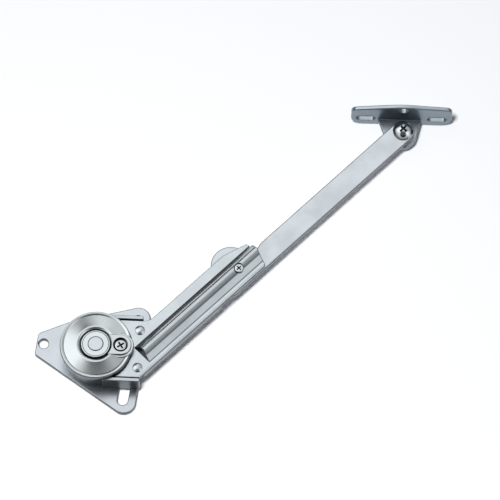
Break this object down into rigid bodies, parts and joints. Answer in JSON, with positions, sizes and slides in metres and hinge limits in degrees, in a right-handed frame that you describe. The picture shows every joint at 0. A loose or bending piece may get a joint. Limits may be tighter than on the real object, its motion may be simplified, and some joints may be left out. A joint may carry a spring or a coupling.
{
  "type": "flap stay",
  "caption": "Damped flap stay: slotted base plate with a round adjustable rotary damper, ribbed lower arm, flat folding upper arm and a pivoted flanged door bracket.",
  "frame": {"origin": "the damper's axis on the base plate's back face, which lies on the cabinet's side panel", "axes": "+Z away from the panel along every pivot's axis, +Y square out of the door bracket's flange, +X along that flange; the arm is stretched out, as in the picture"},
  "size_m": [0.1814, 0.1455, 0.0167],
  "materials": {
    "plate_steel": "satin nickel plate on pressed steel",
    "arm_steel": "satin nickel plate on pressed steel",
    "bar_steel": "satin nickel plate, fine lengthwise grain",
    "bracket_steel": "bright nickel plate on bent steel",
    "casing_zinc": "nickel plated zinc casting",
    "cap_nickel": "bright nickel plate",
    "hub_nickel": "turned nickel plate",
    "spindle_steel": "machined steel",
    "rivet_steel": "bright zinc",
    "screw_steel": "bright zinc",
    "pivot_chrome": "polished chrome plate",
    "spring_steel": "drawn spring wire",
    "slide_plastic": "natural acetal",
    "seal_rubber": "black nitrile"
  },
  "bodies": {
    "base": {"base_plate": "plate_steel", "spindle": "spindle_steel", "hub_washer": "hub_nickel", "thrust_washer": "slide_plastic", "damper_vane": "spindle_steel", "valve_clip": "slide_plastic"},
    "lower_arm": {"damper_casing": "casing_zinc", "damper_cap": "cap_nickel", "casing_seal": "seal_rubber", "upper_shaft_seal": "seal_rubber", "lower_shaft_seal": "seal_rubber", "torque_seal": "seal_rubber", "arm_rivets": "rivet_steel", "arm_front_plate": "arm_steel", "arm_rear_plate": "plate_steel", "mid_pivot_screw": "screw_steel", "mid_pivot_nut": "screw_steel", "front_spacer": "slide_plastic", "rear_spacer": "slide_plastic", "spring_seat": "slide_plastic", "catch_spring": "spring_steel"},
    "torque_screw": {"torque_screw": "screw_steel"},
    "catch_plunger": {"catch_plunger": "spindle_steel"},
    "upper_arm": {"upper_arm_bar": "bar_steel", "mid_bush": "slide_plastic", "door_bush": "slide_plastic"},
    "door_bracket": {"door_bracket": "bracket_steel", "door_pivot_screw": "pivot_chrome", "door_washer": "slide_plastic"}
  },
  "joints": [
    {"name": "damper_hinge", "type": "hinge", "parent": "base", "child": "lower_arm", "pos_m": [0, 0, 0], "axis": [0, 0, 1], "range_deg": [-30, 80]},
    {"name": "torque_adjust", "type": "hinge", "parent": "lower_arm", "child": "torque_screw", "pos_m": [0.0108, -0.00021, 0.015], "axis": [0, 0, 1], "range_deg": [-180, 180]},
    {"name": "catch_slide", "type": "slide", "parent": "lower_arm", "child": "catch_plunger", "axis": [0.6978, 0.7163, 0], "range_m": [-0.0025, 0], "stiffness_N_per_m": 800, "springref_m": 0.004, "deforming": ["catch_spring"]},
    {"name": "elbow", "type": "hinge", "parent": "lower_arm", "child": "upper_arm", "pos_m": [0.06087, 0.03756, 0.00785], "axis": [0, 0, 1], "range_deg": [-135, 0]},
    {"name": "door_hinge", "type": "hinge", "parent": "upper_arm", "child": "door_bracket", "pos_m": [0.13237, 0.10922, 0.00785], "axis": [0, 0, 1], "range_deg": [-110, 45]}
  ]
}
